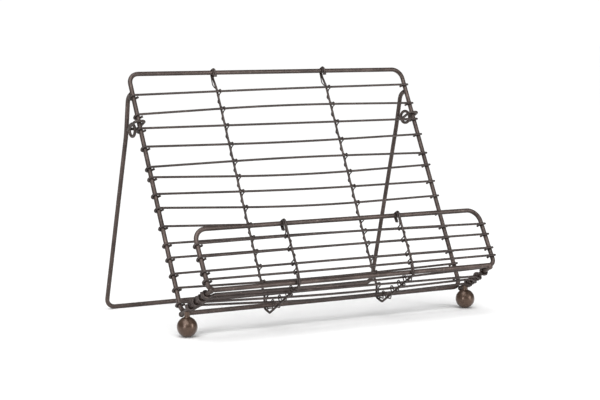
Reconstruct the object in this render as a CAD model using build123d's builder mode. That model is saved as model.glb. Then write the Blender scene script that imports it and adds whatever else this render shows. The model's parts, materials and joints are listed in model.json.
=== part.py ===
"""Photo album stand: a bent-wire easel with a ledge, a lip and a folding U-shaped kickstand.

Millimetres. X runs along the width, +Y points to the back, +Z up, and the origin is the middle
of the stand's footprint on the floor. The stand is drawn opened out, with its kickstand leg tips
against the side rods of the back.
"""

from build123d import *

import os
from math import cos, radians, sin, tan

# ---------------------------------------------------------------- driving dimensions
ROD_D = 4.2  # rod of the frames, links and kickstand
WIRE_D = 2.1  # cross wires and stays
STRAND_D = 1.1  # binding strand that ties a stay to each wire
PLAY = 0.04  # air between pieces that lie against each other

FRAME_W = 300.0  # between the side rods' centre lines
BACK_H = 232.0  # bottom bar to top bar, along the slope
BACK_LEAN = 27.1  # from upright
BACK_TOP_R = 10.0
BACK_FOOT_R = 8.0
BAR_Y = -51.1  # bottom bar of the back
BAR_Z = 19.3

SHELF_L = 60.1  # back's bottom bar to lip's bottom bar
SHELF_RISE = 27.7  # from level

LIP_W = 301.6
LIP_H = 56.6
LIP_LEAN = 30.2
LIP_TOP_R = 12.0
LIP_FOOT_R = 6.0

KICK_Y = BAR_Y + 158.2  # floor bar of the kickstand
KICK_W = 302.0
KICK_CORNER_R = 9.0
KNEE = (BAR_Y + 111.2, 170.0)  # y, z where a leg straightens up
KNEE_R = 60.0
BROW = (BAR_Y + 106.6, 203.5)  # y, z where it bends forward to its tip
BROW_R = 9.0
STOP_GAP = 0.3  # between a leg tip and its side rod when open

PIVOT_S = 183.4  # hinge axis, up the slope of the back
PIVOT_BEHIND = 14.2  # hinge axis, behind the side rods
HINGE_WIRE_D = 2.6
HINGE_LINK_W = 10.0  # between the centre lines of a hinge link's arms
EYE_WIRE_D = 2.8
EYE_R = 5.8  # centre line of an eye
# From the hinge axis to the middle of each eye, in y and z
EYE_HANG = {"left": (1.8, -1.3), "right": (0.5, 2.4)}
STEM_D = 3.2

BALL_D = 18.1
BALL_X = 149.4
BALL_Y = BAR_Y - 9.3
NECK_D = 5.0
NECK_FILLET_R = 1.0

# Height of each back wire up the slope, at its left end, in the middle and at its right end
BACK_WIRES = [
    (209.4, 212.3, 214.0),
    (190.0, 194.9, 193.5),
    (176.3, 176.2, 176.2),
    (158.2, 157.0, 159.6),
    (138.2, 140.9, 139.3),
    (128.4, 123.6, 126.7),
    (112.1, 108.6, 109.1),
    (98.8, 92.0, 93.7),
    (81.2, 75.0, 75.6),
    (64.7, 63.9, 61.1),
    (51.2, 50.8, 50.0),
    (36.2, 36.4, 35.6),
    (23.0, 20.6, 22.8),
    (9.2, 9.2, 8.2),
]
# Height of each lip wire above the lip's bottom bar: left, middle, right
LIP_WIRES = [(42.3, 43.0, 40.8), (29.9, 30.7, 30.2), (16.6, 16.8, 16.2), (8.9, 8.4, 8.5)]
# Distance of each shelf wire from the back's bottom bar: left, middle, right
SHELF_WIRES = [(27.7, 10.2, 19.5), (35.8, 25.6, 32.2), (45.6, 39.9, 39.9), (55.2, 48.9, 54.2)]
SHELF_DROPS = [2.4, 2.9, 2.0, 1.2]  # how far the middle of each hangs below the bars
# Where its ends wind round the left and right link, on the same scale
SHELF_COILS = [(20.0, 16.8), (31.0, 25.0), (42.0, 35.5), (52.0, 48.5)]
# Which side of each link an end comes in on: 1 underneath, -1 on top
SHELF_SIDES = [(1, 1), (1, 1), (1, 1), (1, -1)]

SIDES = {"left": -1, "right": 1}
# Where each stay stands across the width: the back's top bar, its first cross wire and its
# bottom bar, then the foot and the top of the lip
STAYS = {"left": (-61.8, -63.2, -65.0, -63.6, -60.8), "right": (58.7, 57.4, 55.8, 56.7, 60.2)}
# How far each side link hangs below the bars that it joins
LINK_DEPTH = {"left": 0.6, "right": 1.8}
# Its distance from the middle, at the back and at the lip
LINK_X = {"left": (150.2, 149.2), "right": (150.2, 145.0)}
BEAD_D = 5.2  # weld at each end of a link
# Where each leg tip meets its side rod, up the slope, clear of the top wire's end
TIP_S = {"left": 213.2, "right": 209.0}
# How far each eye is turned out of the fore-and-aft plane
EYE_TOE = {"left": 0.0, "right": 12.0}

TAIL_TURN = 38.0  # degrees that a wound end stays on the rod past its back
TAIL_L = 4.2  # straight length of the cut end
# How far a wound end strays along the rod at its back, and at its tip
STRAY = {"left": (-2.7, -0.6), "right": (3.4, -0.8)}
COIL_QUARTERS = 5  # quarter turns of a shelf wire round its link
COIL_PITCH = 2.5  # each turn lies this much nearer the back than the one before

# ---------------------------------------------------------------- planes of the three panels
# Each has local x along the width, local y up its slope (the shelf's runs forward), and local z
# towards the reader on the back and the lip, and downwards, out of the trough, on the shelf.
lean = radians(BACK_LEAN)
rise = radians(SHELF_RISE)
tilt = radians(LIP_LEAN)
back = Plane(origin=(0, BAR_Y, BAR_Z), x_dir=(1, 0, 0), z_dir=(0, -cos(lean), sin(lean)))
shelf = Plane(origin=(0, BAR_Y, BAR_Z), x_dir=(1, 0, 0), z_dir=(0, -sin(rise), -cos(rise)))
lip_bar = shelf.from_local_coords(Vector(0, SHELF_L, 0))
lip = Plane(origin=lip_bar, x_dir=(1, 0, 0), z_dir=(0, -cos(tilt), sin(tilt)))

ON_ROD = (ROD_D + WIRE_D) / 2 + PLAY  # from a rod's centre to a wire lying on it
ON_WIRE = WIRE_D + PLAY  # between the centres of two crossing wires


def on(plane, x, y, z):
    """The point of the stand at local x, y, z of a panel's plane."""
    return plane.from_local_coords(Vector(x, y, z))


def between(first, last, share):
    """The value a share of the way from first to last."""
    return first + (last - first) * share


def start(line):
    """The plane across the beginning of a path, for the section that is swept along it."""
    return Plane(origin=line @ 0, z_dir=line % 0)


EASY = 0.45  # share of the shorter run that a gentle bend takes up


def easy_radius(before, corner, after):
    """The largest gentle bend for a corner between two runs."""
    first = corner - before
    second = after - corner
    half_turn = radians(first.get_angle(second)) / 2
    return EASY * min(first.length, second.length) / tan(half_turn)


def easy_bends(points, largest):
    """A bend radius for every inner corner of a path, as gentle as its runs allow."""
    radii = []
    for before, corner, after in zip(points, points[1:], points[2:]):
        radii.append(min(largest, easy_radius(before, corner, after)))
    return radii


def save(piece, name):
    """Label a finished piece and write it under its own name."""
    piece.part.label = name
    export_step(piece.part, f"parts/{name}.step")


os.makedirs("parts", exist_ok=True)


# ---------------------------------------------------------------- frames
def loop_path(width, height, top_r, foot_r):
    """Corners and bend radii of a closed frame, its bottom bar on local x."""
    half = width / 2
    corners = [(half, 0, 0), (half, height, 0), (-half, height, 0), (-half, 0, 0)]
    return corners, [foot_r, top_r, top_r, foot_r]


with BuildPart() as back_frame:
    corners, bends = loop_path(FRAME_W, BACK_H, BACK_TOP_R, BACK_FOOT_R)
    with BuildLine(back) as route:
        FilletPolyline(*corners, radius=bends, close=True)
    with BuildSketch(start(route.line)):
        Circle(ROD_D / 2)
    sweep()
save(back_frame, "back_frame")

with BuildPart() as lip_frame:
    corners, bends = loop_path(LIP_W, LIP_H, LIP_TOP_R, LIP_FOOT_R)
    with BuildLine(lip) as route:
        FilletPolyline(*corners, radius=bends, close=True)
    with BuildSketch(start(route.line)):
        Circle(ROD_D / 2)
    sweep()
save(lip_frame, "lip_frame")


# ---------------------------------------------------------------- cross wires
def wound_end(x, y, side):
    """A wire's end round a rod at local x, y: three corners, and the two bend radii."""
    past = radians(TAIL_TURN)
    turn = radians(90 + TAIL_TURN) / 2
    back_stray, tip_stray = STRAY["left" if side < 0 else "right"]
    tip_x = ON_ROD * sin(past) + TAIL_L * cos(past)
    tip_z = TAIL_L * sin(past) - ON_ROD * cos(past)
    corners = [
        (x + side * ON_ROD, y, ON_ROD),
        (x + side * ON_ROD, y + back_stray, -ON_ROD * tan(turn)),
        (x - side * tip_x, y + tip_stray, tip_z),
    ]
    return corners, [ON_ROD, 0.98 * ON_ROD]


def crest(left, middle, right):
    """Local y of the corner whose gentle bend brings a bowed wire through its middle height."""
    level = (left + right) / 2
    return level + (middle - level) / (1 - EASY / 2)


def cross_wire_path(rod_x, heights):
    """Corners and radii of a bowed wire with an end wound round each side rod."""
    left, middle, right = heights
    left_corners, left_bends = wound_end(-rod_x, left, -1)
    right_corners, right_bends = wound_end(rod_x, right, 1)
    top = (0, crest(left, middle, right), ON_ROD)
    bow = easy_radius(Vector(left_corners[0]), Vector(top), Vector(right_corners[0]))
    corners = left_corners[::-1] + [top] + right_corners
    return corners, left_bends[::-1] + [bow] + right_bends


for number, heights in enumerate(BACK_WIRES, start=1):
    with BuildPart() as back_wire:
        corners, bends = cross_wire_path(FRAME_W / 2, heights)
        with BuildLine(back) as route:
            FilletPolyline(*corners, radius=bends)
        with BuildSketch(start(route.line)):
            Circle(WIRE_D / 2)
        sweep()
    save(back_wire, f"back_wire_{number:02d}")

for number, heights in enumerate(LIP_WIRES, start=1):
    with BuildPart() as lip_wire:
        corners, bends = cross_wire_path(LIP_W / 2, heights)
        with BuildLine(lip) as route:
            FilletPolyline(*corners, radius=bends)
        with BuildSketch(start(route.line)):
            Circle(WIRE_D / 2)
        sweep()
    save(lip_wire, f"lip_wire_{number}")


# ---------------------------------------------------------------- shelf
COIL_START = 1.8 * ON_ROD  # how far inside its link a shelf wire's end starts to turn
BELOW = 0.5 * ON_ROD  # and how far below, or above, the link's centre line


def link_x(name, y):
    """Local x of a side link's centre line at a distance y along the shelf."""
    at_back, at_lip = LINK_X[name]
    return SIDES[name] * between(at_back, at_lip, y / SHELF_L)


def coiled_end(name, arrival, coil_y, under):
    """Corners of a shelf wire's end, slanted across its link and then coiled back round it."""
    side = SIDES[name]
    depth = LINK_DEPTH[name]
    corners = [
        (link_x(name, arrival) - side * COIL_START, arrival, depth + under * BELOW),
        (link_x(name, coil_y) + side * ON_ROD, coil_y, depth + under * 1.35 * ON_ROD),
    ]
    ring = [(1, -under), (-1, -under), (-1, under), (1, under)]
    for step in range(COIL_QUARTERS):
        out, down = ring[step % 4]
        along = coil_y - (step + 1) * COIL_PITCH / 4
        corners.append((link_x(name, along) + side * out * ON_ROD, along, depth + down * ON_ROD))
    return corners


for number, heights in enumerate(SHELF_WIRES, start=1):
    with BuildPart() as shelf_wire:
        left, middle, right = heights
        left_coil, right_coil = SHELF_COILS[number - 1]
        left_under, right_under = SHELF_SIDES[number - 1]
        left_corners = coiled_end("left", left, left_coil, left_under)
        right_corners = coiled_end("right", right, right_coil, right_under)
        drop = crest(left_corners[0][2], SHELF_DROPS[number - 1], right_corners[0][2])
        top = (0, crest(left, middle, right), drop)
        bow = easy_radius(Vector(left_corners[0]), Vector(top), Vector(right_corners[0]))
        coil_bends = [0.97 * ON_ROD] * (len(left_corners) - 1)
        corners = left_corners[::-1] + [top] + right_corners
        with BuildLine(shelf) as route:
            FilletPolyline(*corners, radius=coil_bends + [bow] + coil_bends)
        with BuildSketch(start(route.line)):
            Circle(WIRE_D / 2)
        sweep()
    save(shelf_wire, f"shelf_wire_{number}")

for name, side in SIDES.items():
    with BuildPart() as shelf_link:
        depth = LINK_DEPTH[name]
        foot = on(shelf, link_x(name, 0), 0, depth)
        head = on(shelf, link_x(name, SHELF_L), SHELF_L, depth)
        with BuildLine() as route:
            Line(foot, head)
        with BuildSketch(start(route.line)):
            Circle(ROD_D / 2)
        sweep()
        with Locations(foot, head):
            Sphere(BEAD_D / 2)
    save(shelf_link, f"shelf_link_{name}")


# ---------------------------------------------------------------- stays
BEHIND_WIRES = ON_ROD - ON_WIRE  # local z of a stay on the back
OVER_LIP_WIRES = ON_ROD + ON_WIRE  # local z of a stay on the lip
HOOK_L = 5.5  # how far a stay's hook reaches down past a top bar
ROUND_BAR = (-1.1, -4.4)  # local y, z on the back where a stay turns under the bottom bar
SLING = (2.8, 8.1)  # local y, z on the shelf of the pointed loop under the bottom bar


def stay_path(hook_x, top_x, bar_x, foot_x, lip_x):
    """Corners of a stay from its hook on the back's top bar to its hook on the lip's."""
    over_bar = BACK_H + ON_ROD
    over_lip = LIP_H + ON_ROD
    return [
        on(back, hook_x, BACK_H - HOOK_L, ON_ROD),
        on(back, hook_x, over_bar, ON_ROD),
        on(back, hook_x, over_bar, -ON_ROD),
        on(back, hook_x, BACK_H - HOOK_L, -ON_ROD),
        on(back, top_x, max(BACK_WIRES[0]) + 2, BEHIND_WIRES),
        on(back, bar_x, min(BACK_WIRES[-1]), BEHIND_WIRES),
        on(back, bar_x, *ROUND_BAR),
        on(shelf, between(bar_x, foot_x, 0.1), *SLING),
        on(shelf, foot_x, SHELF_L + ON_ROD, ON_ROD),
        on(lip, foot_x, min(LIP_WIRES[-1]) - 2, OVER_LIP_WIRES),
        on(lip, between(foot_x, lip_x, 0.3), max(LIP_WIRES[0]) + 2, OVER_LIP_WIRES),
        on(lip, lip_x, over_lip, ON_ROD),
        on(lip, lip_x, over_lip, -ON_ROD),
        on(lip, lip_x, LIP_H - HOOK_L, -ON_ROD),
    ]


for name, places in STAYS.items():
    with BuildPart() as stay:
        points = stay_path(*places)
        with BuildLine() as route:
            FilletPolyline(*points, radius=easy_bends(points, ON_ROD))
        with BuildSketch(start(route.line)):
            Circle(WIRE_D / 2)
        sweep()
    save(stay, f"stay_{name}")


# ---------------------------------------------------------------- binding wires
BESIDE_STAY = (WIRE_D + STRAND_D) / 2 + 0.36  # from a stay's centre to its binding wire
ROUND_WIRE = (WIRE_D + STRAND_D) / 2 + PLAY  # from a wire's centre to a binding wire round it
ROUND_ROD = (ROD_D + STRAND_D) / 2 + PLAY
LOOSE_GRIP = 1.25 * ROUND_WIRE  # on the shelf, where the wires slant
SLACK = 2.9  # how far a binding wire bows out from its stay between hitches


def height_at(heights, reach, x):
    """Local y of a bowed cross wire at local x, within its gentle bend."""
    left, middle, right = heights
    sag = crest(left, middle, right) - (left + right) / 2
    return middle + (right - left) / 2 * x / reach - sag * (x / reach) ** 2 / (2 * EASY)


def hitch(plane, x, y, stay_z, wire_z, hand, heading, grip=1.04 * ROUND_WIRE):
    """A binding wire's staple over a cross wire, beside its stay."""
    inward = 1 if wire_z > stay_z else -1
    beside = x + hand * BESIDE_STAY
    foot_z = stay_z - inward * 0.15
    top_z = wire_z + inward * grip
    near = y - heading * grip
    far = y + heading * grip
    return [
        on(plane, beside, near, foot_z),
        on(plane, beside, near, top_z),
        on(plane, beside, far, top_z),
        on(plane, beside, far, foot_z),
    ]


def bow(plane, x, first_y, last_y, stay_z, wire_z, hand):
    """The slack of a binding wire behind its stay, halfway between two hitches."""
    outward = -1 if wire_z > stay_z else 1
    return on(plane, x - 0.2 * hand, (first_y + last_y) / 2, stay_z + outward * SLACK)


def binding_path(hook_x, top_x, bar_x, foot_x, lip_x):
    """Corners of a binding wire from the back's top bar to the lip's."""
    left_of = hook_x - ROUND_WIRE
    points = [
        on(back, left_of, BACK_H - HOOK_L, ROUND_ROD),
        on(back, left_of, BACK_H + ROUND_ROD, ROUND_ROD),
        on(back, left_of, BACK_H + ROUND_ROD, -ROUND_ROD),
        on(back, left_of - 0.3, BACK_H - 2 * HOOK_L, -1.1 * ON_ROD),
        on(back, top_x + 0.6, max(BACK_WIRES[0]) + 4, -ON_ROD),
    ]
    # down the back, on the reader's right of the stay
    places = []
    for heights in BACK_WIRES:
        stay_l = max(BACK_WIRES[0]) + 2 - min(BACK_WIRES[-1])
        x = between(bar_x, top_x, (heights[1] - min(BACK_WIRES[-1])) / stay_l)
        places.append((x, height_at(heights, FRAME_W / 2 + ON_ROD, x)))
    for (x, y), (next_x, next_y) in zip(places, places[1:]):
        points += hitch(back, x, y, BEHIND_WIRES, ON_ROD, 1, -1)
        middle_x = (x + next_x) / 2
        points.append(bow(back, middle_x, y, next_y, BEHIND_WIRES, ON_ROD, 1))
    points += hitch(back, *places[-1], BEHIND_WIRES, ON_ROD, 1, -1)
    # round the bottom bar, inside the stay's sling
    points += [
        on(back, bar_x + BESIDE_STAY, 0.2, -1.3 * ROUND_ROD),
        on(shelf, bar_x + BESIDE_STAY, -1.9, 1.12 * ROUND_ROD),
        on(shelf, bar_x + 0.5, 2.2, 1.32 * ROUND_ROD),
    ]
    # forward under the shelf, on the reader's left of the stay
    sling_y, sling_z = SLING
    foot_y = SHELF_L + ON_ROD
    reach = FRAME_W / 2 - COIL_START
    for heights, drop, (left_under, right_under) in zip(SHELF_WIRES, SHELF_DROPS, SHELF_SIDES):
        x = between(bar_x, foot_x, heights[1] / SHELF_L)
        y = height_at(heights, reach, x)
        stay_z = between(sling_z, ON_ROD, (y - sling_y) / (foot_y - sling_y))
        left_drop = LINK_DEPTH["left"] + left_under * BELOW
        right_drop = LINK_DEPTH["right"] + right_under * BELOW
        wire_z = height_at((left_drop, drop, right_drop), reach, x)
        points += hitch(shelf, x, y, stay_z, wire_z, -1, 1, LOOSE_GRIP)
        points.append(bow(shelf, x, y, y + 12, stay_z, wire_z, -1))
    points.append(on(shelf, foot_x - BESIDE_STAY, SHELF_L + ON_ROD, ON_ROD))
    # up the lip, still on the left, and over its top bar
    for heights in LIP_WIRES[::-1]:
        y = height_at(heights, LIP_W / 2 + ON_ROD, foot_x)
        x = between(foot_x, lip_x, 0.3 * y / LIP_H)
        points += hitch(lip, x, y, OVER_LIP_WIRES, ON_ROD, -1, 1)
        points.append(bow(lip, x, y, y + 12, OVER_LIP_WIRES, ON_ROD, -1))
    left_of = lip_x - BESIDE_STAY
    points[-1] = on(lip, between(foot_x, lip_x, 0.5) - BESIDE_STAY, y + 7, OVER_LIP_WIRES + 0.5)
    points += [
        on(lip, left_of, LIP_H + ROUND_ROD, ROUND_ROD),
        on(lip, left_of, LIP_H + ROUND_ROD, -ROUND_ROD),
        on(lip, left_of, LIP_H - HOOK_L, -ROUND_ROD),
    ]
    return points


for name, places in STAYS.items():
    with BuildPart() as binding_wire:
        points = binding_path(*places)
        with BuildLine() as route:
            FilletPolyline(*points, radius=easy_bends(points, ROUND_WIRE))
        with BuildSketch(start(route.line)):
            Circle(STRAND_D / 2)
        sweep()
    save(binding_wire, f"binding_wire_{name}")


# ---------------------------------------------------------------- ball feet
for name, side in SIDES.items():
    with BuildPart() as ball_foot:
        link_y = (BAR_Y - BALL_Y) / cos(rise)
        link_z = on(shelf, 0, link_y, LINK_DEPTH[name]).Z
        centre = (side * BALL_X, BALL_Y, BALL_D / 2)
        with Locations(centre):
            Sphere(BALL_D / 2)
            neck_h = link_z - BALL_D / 2 - 1.0
            Cylinder(NECK_D / 2, neck_h, align=(Align.CENTER, Align.CENTER, Align.MIN))
        collar = ball_foot.edges().filter_by(GeomType.CIRCLE).group_by(Axis.Z)[-2]
        fillet(collar.filter_by(lambda edge: edge.length < 4 * NECK_D), NECK_FILLET_R)
    save(ball_foot, f"ball_foot_{name}")


# ---------------------------------------------------------------- kickstand and its hinges
axis = on(back, 0, PIVOT_S, -PIVOT_BEHIND)

with BuildPart() as kickstand:
    corners = []
    for name, side in SIDES.items():
        rod_x = side * FRAME_W / 2
        tip = on(back, rod_x, TIP_S[name], -(ROD_D / 2 + STOP_GAP))
        brow = on(back, rod_x, TIP_S[name], -(ROD_D / 2 + STOP_GAP) - 8.0)
        knee = Vector(rod_x, *KNEE)
        floor = Vector(side * KICK_W / 2, KICK_Y, ROD_D / 2)
        corners.append([tip, brow, knee, floor])
    bends = [BROW_R, KNEE_R, KICK_CORNER_R]
    with BuildLine() as route:
        FilletPolyline(*corners[0], *corners[1][::-1], radius=bends + bends[::-1])
    with BuildSketch(start(route.line)):
        Circle(ROD_D / 2)
    sweep()
save(kickstand, "kickstand")

for name, side in SIDES.items():
    rod_x = side * FRAME_W / 2
    with BuildPart() as hinge_link:
        half = HINGE_LINK_W / 2
        front = (ROD_D + HINGE_WIRE_D) / 2 + PLAY
        corners = [
            (rod_x + half, PIVOT_S, -PIVOT_BEHIND),
            (rod_x + half, PIVOT_S, front),
            (rod_x - half, PIVOT_S, front),
            (rod_x - half, PIVOT_S, -PIVOT_BEHIND),
        ]
        with BuildLine(back) as route:
            FilletPolyline(*corners, radius=[2.4, 3.4, 3.4, 2.4], close=True)
        with BuildSketch(start(route.line)):
            Circle(HINGE_WIRE_D / 2)
        sweep()
    save(hinge_link, f"hinge_link_{name}")

    with BuildPart() as leg_eye:
        toe = radians(EYE_TOE[name]) * side
        hang_y, hang_z = EYE_HANG[name]
        eye = Vector(rod_x + EYE_R * sin(toe) / 2, axis.Y + hang_y, axis.Z + hang_z)
        leg_y = between(KNEE[0], BROW[0], (eye.Z - KNEE[1]) / (BROW[1] - KNEE[1]))
        stem = Vector(eye.X - EYE_R * sin(toe), eye.Y + EYE_R * cos(toe), eye.Z)
        leg = Vector(rod_x, leg_y - 0.4 * ROD_D, eye.Z)
        with Locations(Plane(origin=eye, z_dir=(cos(toe), sin(toe), 0))):
            Torus(EYE_R, EYE_WIRE_D / 2)
        with BuildLine() as route:
            Line(stem, leg)
        with BuildSketch(start(route.line)):
            Circle(STEM_D / 2)
        sweep()
    save(leg_eye, f"leg_eye_{name}")
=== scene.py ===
"""Looks of the photo album stand: lacquer for each kind of wire, a pale floor, soft light, camera."""

import json
import math

import bpy
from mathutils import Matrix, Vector

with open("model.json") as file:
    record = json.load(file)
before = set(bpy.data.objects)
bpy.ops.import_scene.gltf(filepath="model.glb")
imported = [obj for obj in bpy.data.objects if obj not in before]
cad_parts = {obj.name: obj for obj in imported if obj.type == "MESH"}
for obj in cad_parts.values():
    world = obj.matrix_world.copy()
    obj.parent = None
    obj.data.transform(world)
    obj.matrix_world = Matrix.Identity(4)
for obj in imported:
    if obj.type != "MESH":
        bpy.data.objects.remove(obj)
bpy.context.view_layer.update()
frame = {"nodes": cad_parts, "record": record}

# ---------------------------------------------------------------- lacquer
METALLIC = 0.55
COAT_ROUGHNESS = 0.32
CLOUD_SCALE = 55.0  # broad changes of colour, a couple of centimetres across
SHINE_SCALE = 160.0  # changes of gloss
SPOT_SCALE = 420.0  # rubbed spots, a few millimetres apart
PEBBLE_SCALE = 900.0  # the fine grain of the dried lacquer
PEBBLE_DEPTH = 0.00025
BLACK = (0.0, 0.0, 0.0)
RUBBED = (0.24, 0.19, 0.165)


def lacquer(name, dark, light, gloss, grain, worn=RUBBED, wear=0.35, coat=0.15):
    """Hand-dipped bronze lacquer: cloudy colour, a fine pebbled surface, paler rubbed spots."""
    material = bpy.data.materials.new(name)
    material.use_nodes = True
    tree = material.node_tree
    shader = tree.nodes["Principled BSDF"]
    shader.inputs["Metallic"].default_value = METALLIC
    shader.inputs["Coat Weight"].default_value = coat
    shader.inputs["Coat Roughness"].default_value = COAT_ROUGHNESS

    place = tree.nodes.new("ShaderNodeTexCoord")

    def noise(scale, detail):
        node = tree.nodes.new("ShaderNodeTexNoise")
        node.inputs["Scale"].default_value = scale
        node.inputs["Detail"].default_value = detail
        tree.links.new(place.outputs["Object"], node.inputs["Vector"])
        return node

    def ramp(source, stops):
        node = tree.nodes.new("ShaderNodeValToRGB")
        elements = node.color_ramp.elements
        for element, (position, colour) in zip(elements, stops):
            element.position = position
            element.color = (*colour, 1.0)
        tree.links.new(source.outputs["Fac"], node.inputs["Fac"])
        return node

    clouds = ramp(noise(CLOUD_SCALE, 4.0), [(0.35, dark), (0.68, light)])
    spots = ramp(noise(SPOT_SCALE, 3.0), [(0.60, BLACK), (0.72, (wear, wear, wear))])
    colour = tree.nodes.new("ShaderNodeMix")
    colour.data_type = "RGBA"
    tree.links.new(spots.outputs["Color"], colour.inputs["Factor"])
    tree.links.new(clouds.outputs["Color"], colour.inputs["A"])
    colour.inputs["B"].default_value = (*worn, 1.0)
    tree.links.new(colour.outputs["Result"], shader.inputs["Base Color"])

    shine = tree.nodes.new("ShaderNodeMapRange")
    shine.inputs["To Min"].default_value = gloss - 0.09
    shine.inputs["To Max"].default_value = gloss + 0.11
    tree.links.new(noise(SHINE_SCALE, 5.0).outputs["Fac"], shine.inputs["Value"])
    tree.links.new(shine.outputs["Result"], shader.inputs["Roughness"])

    bump = tree.nodes.new("ShaderNodeBump")
    bump.inputs["Strength"].default_value = grain
    bump.inputs["Distance"].default_value = PEBBLE_DEPTH
    tree.links.new(noise(PEBBLE_SCALE, 4.0).outputs["Fac"], bump.inputs["Height"])
    tree.links.new(bump.outputs["Normal"], shader.inputs["Normal"])
    return material


# The darker and the lighter colour of each kind of piece
ROD = ((0.038, 0.026, 0.022), (0.080, 0.056, 0.048))
WIRE = ((0.031, 0.022, 0.020), (0.060, 0.044, 0.039))
STRAND = ((0.030, 0.022, 0.020), (0.058, 0.043, 0.037))
HINGE = ((0.040, 0.030, 0.026), (0.072, 0.053, 0.045))
BALL = ((0.070, 0.040, 0.026), (0.112, 0.068, 0.046))
BALL_RUBBED = (0.20, 0.13, 0.095)

FINISHES = {
    "frame_rod": lacquer("bronze_rod", *ROD, gloss=0.40, grain=0.35),
    "kickstand_rod": lacquer("bronze_kickstand", *ROD, gloss=0.40, grain=0.35),
    "cross_wire": lacquer("bronze_wire", *WIRE, gloss=0.42, grain=0.3),
    "stay_wire": lacquer("bronze_stay", *WIRE, gloss=0.42, grain=0.3),
    "binding_wire": lacquer("bronze_binding", *STRAND, gloss=0.46, grain=0.2),
    "hinge_wire": lacquer("bronze_hinge", *HINGE, gloss=0.42, grain=0.3),
    "ball": lacquer("bronze_ball", *BALL, gloss=0.30, grain=0.12, worn=BALL_RUBBED, coat=0.3),
}

slots = {entry["node"]: entry["material_slot"] for entry in frame["record"]["subparts"]}
for node, piece in frame["nodes"].items():
    for place in piece.material_slots:
        place.material = FINISHES[slots[node]]

# ---------------------------------------------------------------- floor
FLOOR_SIZE = 30.0

bpy.ops.mesh.primitive_plane_add(size=FLOOR_SIZE, location=(0.0, 0.0, 0.0))
floor = bpy.context.object
floor.name = "floor"
paper = bpy.data.materials.new("paper")
paper.use_nodes = True
paper_shader = paper.node_tree.nodes["Principled BSDF"]
paper_shader.inputs["Base Color"].default_value = (0.9, 0.9, 0.9, 1.0)
paper_shader.inputs["Roughness"].default_value = 0.9
paper_shader.inputs["Specular IOR Level"].default_value = 0.1
floor.data.materials.append(paper)

# ---------------------------------------------------------------- light
WHITE = (1.0, 1.0, 1.0, 1.0)
ROOM_STRENGTH = 0.22  # what lights the stand from all sides
BACKDROP_STRENGTH = 1.05  # what shows behind the stand
SOFTBOX_WIDTH = 0.3
SOFTBOX_HEIGHT = 1.1
CEILING_STRENGTH = 3.25
CEILING_SPREAD = math.radians(70.0)
CEILING_LEAN = (math.radians(18.0), math.radians(-14.0), 0.0)

# The room is dim, and white only where it is seen past the stand
world = bpy.data.worlds.new("studio")
world.use_nodes = True
studio = world.node_tree
room = studio.nodes["Background"]
room.inputs["Color"].default_value = WHITE
room.inputs["Strength"].default_value = ROOM_STRENGTH
backdrop = studio.nodes.new("ShaderNodeBackground")
backdrop.inputs["Color"].default_value = WHITE
backdrop.inputs["Strength"].default_value = BACKDROP_STRENGTH
rays = studio.nodes.new("ShaderNodeLightPath")
choice = studio.nodes.new("ShaderNodeMixShader")
studio.links.new(rays.outputs["Is Camera Ray"], choice.inputs["Fac"])
studio.links.new(room.outputs["Background"], choice.inputs[1])
studio.links.new(backdrop.outputs["Background"], choice.inputs[2])
studio.links.new(choice.outputs["Shader"], studio.nodes["World Output"].inputs["Surface"])
bpy.context.scene.world = world


def softbox(name, place, aim, power):
    """A tall rectangular lamp that faces a point."""
    lamp = bpy.data.lights.new(name, "AREA")
    lamp.shape = "RECTANGLE"
    lamp.size = SOFTBOX_WIDTH
    lamp.size_y = SOFTBOX_HEIGHT
    lamp.energy = power
    box = bpy.data.objects.new(name, lamp)
    box.location = place
    box.rotation_euler = (Vector(aim) - Vector(place)).to_track_quat("-Z", "Y").to_euler()
    bpy.context.collection.objects.link(box)


softbox("left", (-1.5, -0.9, 0.5), (0.0, 0.0, 0.1), power=12.0)
softbox("right", (0.9, -1.5, 0.5), (0.0, 0.0, 0.1), power=11.0)

# A wide, soft light from the ceiling, the same all over the floor
ceiling = bpy.data.lights.new("ceiling", "SUN")
ceiling.energy = CEILING_STRENGTH
ceiling.angle = CEILING_SPREAD
ceiling_lamp = bpy.data.objects.new("ceiling", ceiling)
ceiling_lamp.rotation_euler = CEILING_LEAN
bpy.context.collection.objects.link(ceiling_lamp)

# ---------------------------------------------------------------- camera
AZIMUTH = math.radians(30.67)  # to the left of the stand's front
ELEVATION = math.radians(6.02)
DISTANCE = 1.6006
AIM = Vector((0.0024, 0.00274, 0.10638))
SENSOR_WIDTH = 36.0
LENS = 101.82

towards = Vector(
    (
        -math.sin(AZIMUTH) * math.cos(ELEVATION),
        -math.cos(AZIMUTH) * math.cos(ELEVATION),
        math.sin(ELEVATION),
    )
)
lens = bpy.data.cameras.new("camera")
lens.sensor_width = SENSOR_WIDTH
lens.lens = LENS
camera = bpy.data.objects.new("camera", lens)
camera.location = AIM + DISTANCE * towards
camera.rotation_euler = towards.to_track_quat("Z", "Y").to_euler()
bpy.context.collection.objects.link(camera)
bpy.context.scene.camera = camera

bpy.context.scene.view_settings.view_transform = "Standard"
